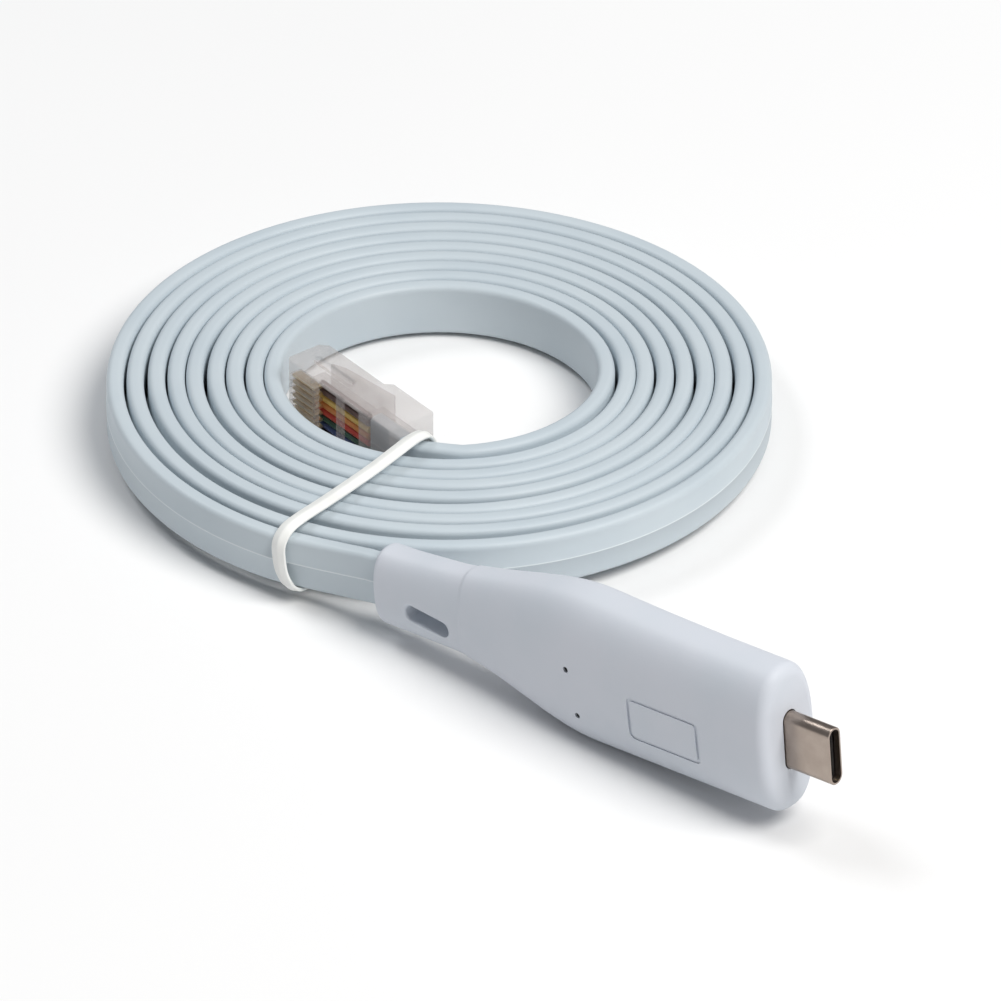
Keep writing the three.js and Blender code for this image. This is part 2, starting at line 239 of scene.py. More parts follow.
# from the coil to the housing's neck
cordTail = [
    (-49.9, -1.75, 5.95),
    (-47.7, -1.2, 6.05),
    (-45.2, -0.68, 6.3),
    (-42.6, -0.3, 6.65),
    (-40.2, -0.08, 7.1),
    (-38.1, 0.0, 7.4),
    (-35.0, 0.0, 7.65),
    (-32.5, 0.0, 7.86),
]


def gapAt(turn):
    place = turn * 4
    index = int(math.floor(place))
    share = place - index
    a, b, c, d = [cordGaps[min(max(index + k, 0), len(cordGaps) - 1)] for k in (-1, 0, 1, 2)]
    bend = (2 * a - 5 * b + 4 * c - d) * share ** 2 + (3 * b - a - 3 * c + d) * share ** 3
    return max(0.5 * (2 * b + (c - a) * share + bend), cord["leastGap"])


def turnRadius(turn):
    if turn < 1:
        angle = math.radians(cord["firstAngle"] + 360 * turn)
        leanX, leanY = cord["firstLean"]
        first = cord["firstRadius"] + leanX * math.cos(angle) + leanY * math.sin(angle)
        return first + turn * (cord["thickness"] + cordGaps[0])
    return turnRadius(turn - 1) + cord["thickness"] + gapAt(turn - 1)


def coilHeight(x, y):
    angle = math.radians(cord["liftAngle"])
    along = (x - cord["ringCentre"][0]) * math.cos(angle) + (y - cord["ringCentre"][1]) * math.sin(angle)
    return cord["ringRise"] + cord["liftSlope"] * along


def cordLine():
    heading = math.radians(cord["plugHeading"])
    back = Vector((math.cos(heading), math.sin(heading), 0))
    plugEnd = Vector(cord["plugEnd"])
    inside = cord["plugInside"]
    lead = cord["plugLead"]
    points = [plugEnd + back * inside, plugEnd + back * inside / 2, plugEnd, plugEnd - back * lead]
    first = cord["joinTurn"]
    count = int(cord["turns"] * cord["pointsPerTurn"])
    for i in range(count + 1):
        turn = first + (cord["turns"] - first) * i / count
        angle = math.radians(cord["startAngle"] + 360 * turn)
        radius = turnRadius(turn)
        x = cord["centre"][0] + radius * math.cos(angle)
        y = cord["centre"][1] + radius * math.sin(angle)
        settle = smoothStep((turn - first) / cord["settleTurns"])
        points.append(Vector((x, y, plugEnd.z + (coilHeight(x, y) - plugEnd.z) * settle)))
    points += [Vector(point) for point in cordTail]
    return evenly(catmullRom(points, 6), cord["ringSpacing"])


# the section as (outward, upward): rounded edges, and a fine bead half way up the outer face
def cordSection():
    half = cord["thickness"] / 2
    tall = cord["width"] / 2
    radius = cord["corner"]
    rise = cord["seamRise"]
    wide = cord["seamWidth"] / 2
    outline = [(half, -wide), (half + rise, -wide * 0.4), (half + rise, wide * 0.4), (half, wide)]
    for corner, (sideways, upward) in enumerate([(1, 1), (-1, 1), (-1, -1), (1, -1)]):
        for step in range(cord["cornerSteps"] + 1):
            angle = math.radians(90 * corner + 90 * step / cord["cornerSteps"])
            outline.append((
                sideways * (half - radius) + radius * math.cos(angle),
                upward * (tall - radius) + radius * math.sin(angle),
            ))
    return outline


def makeCord(line):
    bm = bmesh.new()
    space, verts, ring = startRing(bm, "cordSpace", cordSection())
    bmesh.ops.edgeloop_fill(bm, edges=ring)
    travelled = 0.0
    for i, point in enumerate(line):
        if i:
            travelled += (point - line[i - 1]).length
            verts, ring = nextRing(bm, ring)
        tangent = (line[min(i + 1, len(line) - 1)] - line[max(i - 1, 0)]).normalized()
        outward = tangent.cross(Vector((0, 0, 1))).normalized()
        upward = outward.cross(tangent).normalized()
        for vert in verts:
            place = vert[space]
            vert.co = (point + outward * place.y + upward * place.z) * mm
            vert[space] = (travelled, place.y, place.z)
    bmesh.ops.edgeloop_fill(bm, edges=ring)
    return finishPiece("flat_cord", bm, sharpAngle=60)


line = cordLine()
flatCord = makeCord(line)


# moulded housing: x runs from the neck to the end face
housing = dict(
    length=67.5, pitch=4.6, neckTip=(-37.262, 0.0, 7.469),
    neckHeight=11.3, neckWidth=6.8, neckLength=15.0, ridgeStep=0.12,
    bodyHeight=20.8, bodyWidth=10.6, flareLength=22.0, flareLead=3, ridgeRamp=0.2, sectionPower=2.5,
    topLift=[
        (0, 0.0), (4, 0.12), (10.5, 0.8), (16.5, 1.35), (22, 1.3),
        (31, 0.9), (38, 0.55), (46, 0.22), (56, 0.0),
    ],
    endFillet=1.6, neckFillet=0.9, sectionPoints=72,
    slotStart=5.6, slotLength=7.2, slotHeight=2.2, slotLip=0.45, lipMargin=0.03, lipSteps=5,
    slotDrop=1.4, slotLean=7.0,
    pinholes=[(34.6, 1.3), (35.8, -5.2)], pinholeRadius=0.42, pinholeDepth=1.6, roundSegments=24,
    # painted shade: each pinhole ends in a black filler this far below the surface, a little wider than the
    # hole
    shadeFillerSet=0.3, shadeFillerFit=0.02,
    labelCentre=(50.6, -2.2), labelLength=11.8, labelHeight=6.3, labelCorner=0.9,
    labelLine=0.5, labelDepth=0.14,
    shellSeat=1.8, seatGap=0.14, seatDeeper=0.3,
)
# reversible plug: drawn shell, black insulator with spring contacts
metalPlug = dict(
    height=8.25, width=2.4, reach=7.3, wall=0.3, lip=0.12, cornerSegments=10,
    insulatorSetback=1.0, slotWidth=0.74,
    contactPitch=0.5, contactCount=12, contactWidth=0.24, contactRise=0.09, contactLength=3.4,
    contactSetback=0.3, contactSink=0.03, lipSteps=4,
)
endPlace = (
    Matrix.Translation(Vector(housing["neckTip"]) * mm)
    @ Matrix.Rotation(-math.radians(housing["pitch"]), 4, "Y")
    @ Matrix.Scale(mm, 4)
)


def filletInset(distance, radius):
    if distance >= radius:
        return 0.0
    return radius - math.sqrt(max(radius ** 2 - (radius - distance) ** 2, 0.0))


def housingSize(x):
    lead, ramp = housing["flareLead"], housing["ridgeRamp"]
    flareStart = housing["neckLength"] - lead
    share = smoothStep((x - flareStart) / (housing["flareLength"] + lead))
    ridge = -housing["ridgeStep"] * (1 - smoothStep((x - housing["neckLength"] + ramp / 2) / ramp))
    inset = filletInset(x, housing["neckFillet"]) + filletInset(housing["length"] - x, housing["endFillet"])
    height = housing["neckHeight"] + (housing["bodyHeight"] - housing["neckHeight"]) * share
    width = housing["neckWidth"] + (housing["bodyWidth"] - housing["neckWidth"]) * share
    return width + 2 * (ridge - inset), height + 2 * (ridge - inset)


liftLine = catmullRom([Vector((x, lift, 0)) for x, lift in housing["topLift"]], 8)


# how much taller the upper half is than the lower one at a place along the housing
def topLift(x):
    for a, b in zip(liftLine, liftLine[1:]):
        if a.x <= x < b.x:
            return max(a.lerp(b, (x - a.x) / (b.x - a.x)).y, 0.0)
    return 0.0


# places along the housing: neck fillet, neck, ridge, flare and body, end fillet
def housingStations():
    neck = housing["neckLength"]
    length = housing["length"]
    fillet = housing["endFillet"]
    ramp = housing["ridgeRamp"]
    flare = 2 * ramp
    stations = [housing["neckFillet"] * (1 - math.cos(i / 8 * math.pi / 2)) for i in range(9)]
    stations += [1.5 + (neck - 2.0) * i / 12 for i in range(13)]
    stations += [neck - ramp / 2, neck - ramp / 4, neck, neck + ramp / 4, neck + ramp / 2, neck + flare]
    stations += [neck + flare + (length - fillet - neck - flare) * i / 50 for i in range(1, 50)]
    stations += [length - fillet * (1 - math.cos(i / 10 * math.pi / 2)) for i in range(10, -1, -1)]
    return stations


def neckSlotTool():
    tall, long = housing["slotHeight"], housing["slotLength"]
    lip, steps = housing["slotLip"], housing["lipSteps"]
    centre = housing["slotStart"] + long / 2
    surface = -housing["neckWidth"] / 2 + housing["ridgeStep"]
    # places across the neck, and how far the rounded lip has opened there
    stations = [(surface - toolReach, 1.0), (surface - housing["lipMargin"], 1.0)]
    for step in range(1, steps + 1):
        angle = math.radians(step / steps * 90)
        stations.append((surface + lip * (1 - math.cos(angle)), 1 - math.sin(angle)))
    stations += [(-place, spread) for place, spread in reversed(stations)]
    bm = bmesh.new()
    faces = roundedSideFace(bm, tall, long, tall * roundShare, 8)
    verts = list(bm.verts)
    opened = 0.0
    for i, (place, spread) in enumerate(stations):
        if i:
            faces, verts = drawOut(bm, faces, (0, 0, 0))
        before, after = 2 * lip * opened, 2 * lip * spread
        grow = ((long + after) / (long + before), 1, (tall + after) / (tall + before))
        bmesh.ops.translate(bm, vec=(0, place - verts[0].co.y, 0), verts=verts)
        bmesh.ops.scale(bm, vec=grow, verts=verts)
        bmesh.ops.translate(bm, vec=(0, place - verts[0].co.y, 0), verts=verts)
        opened = spread
    lean = Matrix.Rotation(math.radians(housing["slotLean"]), 3, "Y")
    bmesh.ops.rotate(bm, cent=(0, 0, 0), matrix=lean, verts=bm.verts)
    bmesh.ops.translate(bm, vec=(centre, 0, -housing["slotDrop"]), verts=bm.verts)
    return finishPiece("slot_tool", bm, endPlace)


# half the housing's width at a place on its side
def sideAt(x, z):
    width, height = housingSize(x)
    share = min(abs(z) / (height / 2), 1)
    return width / 2 * (1 - share ** housing["sectionPower"]) ** (1 / housing["sectionPower"])


# a round bar with its middle at this place, lying along the named axis
def addBar(bm, segments, radius, length, axis, middle):
    made = bmesh.ops.create_cone(
        bm, cap_ends=True, segments=segments, radius1=radius, radius2=radius, depth=length,
    )
    turn = Matrix.Rotation(math.radians(90), 3, axis)
    bmesh.ops.rotate(bm, cent=(0, 0, 0), matrix=turn, verts=made["verts"])
    bmesh.ops.translate(bm, vec=middle, verts=made["verts"])


def pinholeTool(x, z):
    bm = bmesh.new()
    depth = housing["pinholeDepth"]
    middle = (x, -sideAt(x, z) + depth / 2 - toolReach / 2, z)
    addBar(bm, housing["roundSegments"], housing["pinholeRadius"], depth + toolReach, "X", middle)
    return finishPiece("pinhole_tool", bm, endPlace)


# a black filler at the bottom of each pinhole, pressed in: painted shade standing in for the dark inside of
# the hole
def makePinholeShadeFillers():
    bm = bmesh.new()
    radius = housing["pinholeRadius"] + housing["shadeFillerFit"]
    depth = housing["pinholeDepth"] - housing["shadeFillerSet"]
    for x, z in housing["pinholes"]:
        middle = (x, -sideAt(x, z) + housing["shadeFillerSet"] + depth / 2, z)
        addBar(bm, housing["roundSegments"], radius, depth, "X", middle)
    return finishPiece("pinhole_shade_fillers", bm, endPlace)


# the sunk outline of the label field, a ring and not a pocket
def labelTool():
    bm = bmesh.new()
    faces = roundedSideFace(bm, housing["labelHeight"], housing["labelLength"], housing["labelCorner"], 6)
    bmesh.ops.inset_region(
        bm, faces=faces, thickness=housing["labelLine"], use_boundary=True, use_even_offset=True,
    )
    bmesh.ops.delete(bm, geom=faces, context="FACES_ONLY")
    bmesh.ops.translate(bm, vec=(0, -toolReach, 0), verts=bm.verts)
    drawOut(bm, list(bm.faces), (0, toolReach + housing["labelDepth"], 0))
    # the field leans with the crowned side
    x, z = housing["labelCentre"]
    top = sideAt(x, z + housing["labelHeight"] / 2)
    bottom = sideAt(x, z - housing["labelHeight"] / 2)
    lean = math.atan2(top - bottom, housing["labelHeight"])
    bmesh.ops.rotate(bm, cent=(0, 0, 0), matrix=Matrix.Rotation(lean, 3, "X"), verts=bm.verts)
    bmesh.ops.translate(bm, vec=(x, -(top + bottom) / 2, z), verts=bm.verts)
    return finishPiece("label_tool", bm, endPlace)


def seatTool():
    bm = bmesh.new()
    gap = 2 * housing["seatGap"]
    wide = metalPlug["width"] + gap
    start = housing["length"] - housing["shellSeat"] - housing["seatDeeper"]
    faces = roundedFace(bm, wide, metalPlug["height"] + gap, wide * roundShare, 10)
    bmesh.ops.translate(bm, vec=(start, 0, 0), verts=bm.verts)
    drawOut(bm, faces, (housing["length"] + toolReach - start, 0, 0))
    return finishPiece("seat_tool", bm, endPlace)


def makeHousing():
    bm = bmesh.new()
    made = bmesh.ops.create_circle(bm, cap_ends=True, segments=housing["sectionPoints"], radius=1)
    verts = made["verts"]
    # a circle made fuller at its corners, with no flat on its sides
    power = 2 / housing["sectionPower"]
    for vert in verts:
        across, up = vert.co.x, vert.co.y
        vert.co = (0, math.copysign(abs(across) ** power, across), math.copysign(abs(up) ** power, up))
    faces = list(bm.faces)
    last = (2, 1, 1)
    place = 0.0
    for i, x in enumerate(housingStations()):
        if i:
            faces, verts = drawOut(bm, faces, (0, 0, 0))
        width, height = housingSize(x)
        size = (width, height / 2 + topLift(x), height / 2)
        grow = [now / before for now, before in zip(size, last)]
        bmesh.ops.scale(bm, vec=(1, grow[0], grow[1]), verts=[vert for vert in verts if vert.co.z > 0])
        bmesh.ops.scale(bm, vec=(1, grow[0], grow[2]), verts=[vert for vert in verts if vert.co.z <= 0])
        bmesh.ops.translate(bm, vec=(x - place, 0, 0), verts=verts)
        last, place = size, x
    piece = finishPiece("moulded_housing", bm, endPlace)
    pinholes = [pinholeTool(x, z) for x, z in housing["pinholes"]]
    cutWith(piece, [neckSlotTool(), labelTool(), seatTool()] + pinholes)
    return piece


def makeShell():
    start = housing["length"] - housing["shellSeat"]
    end = housing["length"] + metalPlug["reach"]
    wide, tall, lip, wall = (metalPlug[part] for part in ("width", "height", "lip", "wall"))
    steps = metalPlug["lipSteps"]
    bm = bmesh.new()
    faces = roundedFace(bm, wide, tall, wide * roundShare, metalPlug["cornerSegments"])
    bmesh.ops.translate(bm, vec=(start, 0, 0), verts=bm.verts)
    faces, verts = drawOut(bm, faces, (end - lip - start, 0, 0))
    # the mouth's rim turns in over a quarter round
    reached, turned = 0.0, 0.0
    for step in range(1, steps + 1):
        angle = math.radians(step / steps * 90)
        faces, verts = drawOut(bm, faces, (lip * math.sin(angle) - reached, 0, 0))
        inward = lip * (1 - math.cos(angle))
        shrink = [(size - 2 * inward) / (size - 2 * turned) for size in (wide, tall)]
        bmesh.ops.scale(bm, vec=(1, *shrink), verts=verts)
        reached, turned = lip * math.sin(angle), inward
    piece = finishPiece("metal_shell", bm, endPlace, sharpAngle=50)
    bm = bmesh.new()
    faces = roundedFace(bm, wide - 2 * wall, tall - 2 * wall, (wide - 2 * wall) * roundShare, 8)
    bmesh.ops.translate(bm, vec=(start + wall, 0, 0), verts=bm.verts)
    drawOut(bm, faces, (end - start + toolReach, 0, 0))
    cutWith(piece, [finishPiece("mouth_tool", bm, endPlace)], sharpAngle=50)
    return piece


def makeSpringContacts():
    bm = bmesh.new()
    front = housing["length"] + metalPlug["reach"] - metalPlug["insulatorSetback"]
    end = front - metalPlug["contactSetback"]
    start = end - metalPlug["contactLength"]
    wide = metalPlug["contactWidth"] / 2
    for side in (-1, 1):
        near = side * (metalPlug["slotWidth"] / 2 + metalPlug["contactSink"])
        far = side * (metalPlug["slotWidth"] / 2 - metalPlug["contactRise"])
        for i in range(metalPlug["contactCount"]):
            z = (i - (metalPlug["contactCount"] - 1) / 2) * metalPlug["contactPitch"]
            addBox(bm, (start, min(near, far), z - wide), (end, max(near, far), z + wide))
    return finishPiece("spring_contacts", bm, endPlace)


mouldedHousing = makeHousing()
metalShell = makeShell()
springContacts = makeSpringContacts()
pinholeShadeFillers = makePinholeShadeFillers()
print("housing and metal plug made")


# clear modular plug, lying on its side: x from the cord end to the nose, -y the contact side
clearPlug = dict(
    length=21.9, width=11.68, thickness=6.3, place=(-55.4, 24.8), heading=168.7,
    hoodLength=8.4, hoodRise=0.95, hoodSlope=0.9, chamfer=0.5, edge=0.16,
    socketDepth=7.3, socketWidth=8.0, socketHeight=2.85,
    wireSpaceStart=6.5, wireSpaceEnd=17.4, wireSpaceHeight=1.3, wireSpaceWidth=9.8,
    wireDepth=1.0, wireHeadroom=1.0,
    windows=[(6.5, 10.1), (11.3, 15.6)], windowHalf=5.3, windowDepth=0.6,
    grooveSpan=(11.6, 19.8), grooveWidth=1.1, grooveDepth=0.5,
    contactStart=16.3, contactEnd=21.0, contactThickness=0.34, contactGap=0.14, contactFloor=0.34,
    ways=8, wayPitch=1.02,
    latchWidth=6.2, latchThickness=1.0, latchRoot=20.6, latchTip=9.4, latchRise=2.0, latchEdge=0.12,
    latchSink=0.05, latchHeel=0.2, latchUnder=0.3,
)
plugPlace = (
    Matrix.Translation(Vector((*clearPlug["place"], clearPlug["width"] / 2)) * mm)
    @ Matrix.Rotation(math.radians(clearPlug["heading"]), 4, "Z")
    @ Matrix.Rotation(math.pi, 4, "X")
    @ Matrix.Scale(mm, 4)
)


def wayPlace(way):
    return (way - (clearPlug["ways"] - 1) / 2) * clearPlug["wayPitch"]


# a block with this side outline in x and y, its edges eased
def sideBlock(bm, outline, width, edge):
    face = bm.faces.new([bm.verts.new((x, y, -width / 2)) for x, y in outline])
    drawOut(bm, [face], (0, 0, width))
    bmesh.ops.bevel(
        bm, geom=list(bm.edges), offset=edge, offset_type="OFFSET", segments=2,
        profile=0.5, affect="EDGES", material=-1,
    )


def plugBoxTool(name, boxes):
    bm = bmesh.new()
    for low, high in boxes:
        addBox(bm, low, high)
    return finishPiece(name, bm, plugPlace)


def plugGrooveTool(side):
    bm = bmesh.new()
    start, end = clearPlug["grooveSpan"]
    wide, deep = clearPlug["grooveWidth"], clearPlug["grooveDepth"]
    faces = roundedFace(bm, wide, end - start, wide * roundShare, 6)
    turn = Matrix(((0, 0, 1), (0, 1, 0), (1, 0, 0)))
    bmesh.ops.transform(bm, matrix=turn.to_4x4(), verts=bm.verts)
    place = ((start + end) / 2, 0, side * (clearPlug["width"] / 2 - deep))
    bmesh.ops.translate(bm, vec=place, verts=bm.verts)
    drawOut(bm, faces, (0, 0, side * (deep + toolReach)))
    return finishPiece("groove_tool", bm, plugPlace)


def makeClearPlug():
    half = clearPlug["thickness"] / 2
    length = clearPlug["length"]
    hood = clearPlug["hoodLength"]
    raised = half + clearPlug["hoodRise"]
    c = clearPlug["chamfer"]
    bm = bmesh.new()
    sideBlock(bm, [
        (0, -half), (length - c, -half), (length, -half + c), (length, half - 2 * c), (length - 2 * c, half),
        (hood + clearPlug["hoodSlope"], half), (hood, raised), (0, raised),
    ], clearPlug["width"], clearPlug["edge"])
    piece = finishPiece("clear_plug", bm, plugPlace)
    socketSide, socketTop = clearPlug["socketWidth"] / 2, clearPlug["socketHeight"] / 2
    wireSide, wireTop = clearPlug["wireSpaceWidth"] / 2, clearPlug["wireSpaceHeight"] / 2
    windowSide, deep, headroom = (clearPlug[part] for part in ("windowHalf", "wireDepth", "wireHeadroom"))
    gap = clearPlug["contactGap"]
    reach = clearPlug["contactThickness"] / 2 + gap
    slotEnds = (clearPlug["contactStart"] - gap, clearPlug["contactEnd"] + gap)
    above = -half - toolReach
    socket = (
        (-toolReach, -socketTop, -socketSide),
        (clearPlug["socketDepth"], socketTop, socketSide),
    )
    wireSpace = (
        (clearPlug["wireSpaceStart"], -deep - wireTop - headroom, -wireSide),
        (clearPlug["wireSpaceEnd"], -deep + wireTop, wireSide),
    )
    windowFloor = -half + clearPlug["windowDepth"]
    windows = [
        ((start, above, -windowSide), (end, windowFloor, windowSide))
        for start, end in clearPlug["windows"]
    ]
    slotFloor = -deep - clearPlug["contactFloor"]
    contactSlots = [
        ((slotEnds[0], above, wayPlace(way) - reach), (slotEnds[1], slotFloor, wayPlace(way) + reach))
        for way in range(clearPlug["ways"])
    ]
    cutWith(piece, [
        plugBoxTool("socket_tool", [socket]),
        plugBoxTool("wire_space_tool", [wireSpace]),
        plugBoxTool("window_tool", windows),
        plugBoxTool("contact_slot_tool", contactSlots),
        plugGrooveTool(1),
        plugGrooveTool(-1),
    ])
    return piece


def makeLatch():
    half = clearPlug["thickness"] / 2
    root, tip = clearPlug["latchRoot"], clearPlug["latchTip"]
    thick, rise = clearPlug["latchThickness"], clearPlug["latchRise"]
    sink, heel, under = (clearPlug[part] for part in ("latchSink", "latchHeel", "latchUnder"))
    back = root - 2 * thick
    bm = bmesh.new()
    sideBlock(bm, [
        (root, half - sink), (root, half + heel), (back, half + thick), (tip, half + rise),
        (tip, half + rise - thick), (back, half + under), (back, half - sink),
    ], clearPlug["latchWidth"], clearPlug["latchEdge"])
    return finishPiece("latch_lever", bm, plugPlace)


conductors = dict(radius=0.46, start=6.9, end=17.1, segments=16)


def makeConductor(way):
    bm = bmesh.new()
    start, end = conductors["start"], conductors["end"]
    middle = ((start + end) / 2, -clearPlug["wireDepth"], wayPlace(way))
    addBar(bm, conductors["segments"], conductors["radius"], end - start, "Y", middle)
    return finishPiece("conductor_" + str(way + 1), bm, plugPlace)


plugBody = makeClearPlug()
latchLever = makeLatch()
conductorPieces = [makeConductor(way) for way in range(clearPlug["ways"])]
print("modular plug made")


# flat tie round the bundle, with the wire's rib along its middle
# loop is (along, up, sideways) from its inner foot
tie = dict(
    inner=(-53.35, 26.95), outer=(-52.2, -3.5), width=2.1, thickness=0.5, rib=0.14, drop=0.75, steps=5,
    loop=[
        (0.7, 1.2, 0), (0.2, 3.4, 0), (0.1, 6.0, 0), (0.3, 8.2, 0), (1.4, 9.7, 0), (3.8, 10.1, 0),
        (7.2, 9.85, 0),
        (11.2, 9.5, 0), (16.2, 9.3, 0), (22.2, 9.2, 0), (26.9, 9.2, 0), (29.55, 8.8, 0), (31.05, 7.4, 0),
        (31.3, 5.2, 0.2), (31.25, 3.0, 0.7), (30.6, 1.2, 1.5), (28.4, 0.45, 1.7), (21.2, 0.42, 1.2),
        (13.2, 0.42, 0.6), (5.2, 0.42, 0.1), (2.2, 0.5, 0),
    ],
)


def tieSection():
    half = tie["width"] / 2
    thick = tie["thickness"] / 2
    top = thick + tie["rib"]
    return [
        (-half, -thick * 0.4), (-half * 0.88, -thick), (half * 0.88, -thick), (half, -thick * 0.4),
        (half, thick * 0.4), (half * 0.88, thick * 0.85), (half * 0.32, thick), (half * 0.13, top),
        (-half * 0.13, top), (-half * 0.32, thick), (-half * 0.88, thick * 0.85), (-half, thick * 0.4),
    ]


def makeTie():
    inner = Vector((*tie["inner"], 0))
    along = (Vector((*tie["outer"], 0)) - inner).normalized()
    across = Vector((0, 0, 1)).cross(along).normalized()
    points = []
    for reach, height, sideways in tie["loop"]:
        place = inner + along * reach + across * sideways
        underside = coilHeight(place.x, place.y) - cord["width"] / 2
        points.append(place + Vector((0, 0, underside + height - tie["drop"])))
    steps = tie["steps"]
    loop = catmullRom(points[-2:] + points + points[:3], steps)[2 * steps:(2 + len(points)) * steps]
    bm = bmesh.new()
    space, verts, ring = startRing(bm, "tieSpace", tieSection())
    firstRing = list(ring)
    travelled = 0.0
    for i, point in enumerate(loop):
        if i:
            travelled += (point - loop[i - 1]).length
            verts, ring = nextRing(bm, ring)
        tangent = (loop[(i + 1) % len(loop)] - loop[i - 1]).normalized()
        outward = tangent.cross(across).normalized()
        for vert in verts:
            place = vert[space]
            vert.co = (point + across * place.y + outward * place.z) * mm
            vert[space] = (travelled, place.y, place.z)
    bmesh.ops.bridge_loops(bm, edges=ring + firstRing)
    return finishPiece("wire_tie", bm, sharpAngle=50)


wireTie = makeTie()
print("tie made")


def newGroup(name, inputs, outputs):
    group = bpy.data.node_groups.new(name, "ShaderNodeTree")
    for label, kind, value in inputs:
        socket = group.interface.new_socket(label, in_out="INPUT", socket_type=kind)
        if value is not None:
            socket.default_value = value
    for label, kind in outputs:
        group.interface.new_socket(label, in_out="OUTPUT", socket_type=kind)
    return group, group.nodes.new("NodeGroupInput"), group.nodes.new("NodeGroupOutput")


# broad, faint clouding between two shades
def makeCloudedColor():
    group, start, end = newGroup(
        "cloudedColor",
        [("Vector", "NodeSocketVector", None), ("Scale", "NodeSocketFloat", 100.0),
         ("Color", "NodeSocketColor", None), ("Shade", "NodeSocketColor", None)],
        [("Color", "NodeSocketColor")],
    )
    noise = group.nodes.new("ShaderNodeTexNoise")
    noise.inputs["Detail"].default_value = 4
    spread = group.nodes.new("ShaderNodeMapRange")
    spread.inputs["From Min"].default_value = 0.36
    spread.inputs["From Max"].default_value = 0.66
    mix = group.nodes.new("ShaderNodeMix")
    mix.data_type = "RGBA"
    links = group.links
    links.new(start.outputs["Vector"], noise.inputs["Vector"])
    links.new(start.outputs["Scale"], noise.inputs["Scale"])
    links.new(noise.outputs["Fac"], spread.inputs["Value"])
    links.new(spread.outputs["Result"], mix.inputs[0])
    links.new(start.outputs["Color"], mix.inputs[6])
    links.new(start.outputs["Shade"], mix.inputs[7])
    links.new(mix.outputs[2], end.inputs["Color"])
    return group


# fine moulded grain as a bump, and the same grain as a value
def makeMouldGrain():
    group, start, end = newGroup(
        "mouldGrain",
        [("Vector", "NodeSocketVector", None), ("Scale", "NodeSocketFloat", 1000.0),
         ("Strength", "NodeSocketFloat", 0.2), ("Distance", "NodeSocketFloat", 0.00005)],
        [("Normal", "NodeSocketVector"), ("Grain", "NodeSocketFloat")],
    )
    noise = group.nodes.new("ShaderNodeTexNoise")
    noise.inputs["Detail"].default_value = 3
    noise.inputs["Roughness"].default_value = 0.6
    bump = group.nodes.new("ShaderNodeBump")
    links = group.links
    links.new(start.outputs["Vector"], noise.inputs["Vector"])
    links.new(start.outputs["Scale"], noise.inputs["Scale"])
    links.new(noise.outputs["Fac"], bump.inputs["Height"])
    links.new(start.outputs["Strength"], bump.inputs["Strength"])
    links.new(start.outputs["Distance"], bump.inputs["Distance"])
    links.new(bump.outputs["Normal"], end.inputs["Normal"])
    links.new(noise.outputs["Fac"], end.inputs["Grain"])
    return group


cloudedColor = makeCloudedColor()
mouldGrain = makeMouldGrain()


def newMaterial(name):
    material = bpy.data.materials.new(name)
    material.use_nodes = True
    tree = material.node_tree
    return material, tree.nodes, tree.links, tree.nodes["Principled BSDF"]


def addGroup(nodes, group, **values):
    node = nodes.new("ShaderNodeGroup")
    node.node_tree = group
    for label, value in values.items():
        node.inputs[label].default_value = value
    return node


def surfacePlace(nodes, attribute=None):
    if attribute is None:
        return nodes.new("ShaderNodeTexCoord").outputs["Object"]
    reader = nodes.new("ShaderNodeAttribute")
    reader.attribute_name = attribute
    return reader.outputs["Vector"]


# clouded colour, grained bump and a roughness that follows the grain
def plasticMaterial(name, look, attribute=None):
    material, nodes, links, shader = newMaterial(name)
    vector = surfacePlace(nodes, attribute)
    color = addGroup(nodes, cloudedColor, Scale=look["cloudScale"], Color=look["color"], Shade=look["shade"])
    links.new(vector, color.inputs["Vector"])
    mapping = nodes.new("ShaderNodeMapping")
    mapping.inputs["Scale"].default_value = look.get("grainStretch", (1, 1, 1))
    links.new(vector, mapping.inputs["Vector"])
    grain = addGroup(nodes, mouldGrain, Scale=look["grainScale"], Strength=look["grainStrength"],
                     Distance=look["grainDepth"])
    links.new(mapping.outputs["Vector"], grain.inputs["Vector"])
    rough = nodes.new("ShaderNodeMapRange")
    rough.inputs["To Min"].default_value = look["roughness"] - look["roughSpread"]
    rough.inputs["To Max"].default_value = look["roughness"] + look["roughSpread"]
    links.new(grain.outputs["Grain"], rough.inputs["Value"])
    links.new(rough.outputs["Result"], shader.inputs["Roughness"])
    links.new(grain.outputs["Normal"], shader.inputs["Normal"])
    links.new(color.outputs["Color"], shader.inputs["Base Color"])
    shader.inputs["Metallic"].default_value = look.get("metallic", 0.0)
    shader.inputs["Specular IOR Level"].default_value = look.get("specular", 0.4)
    return material


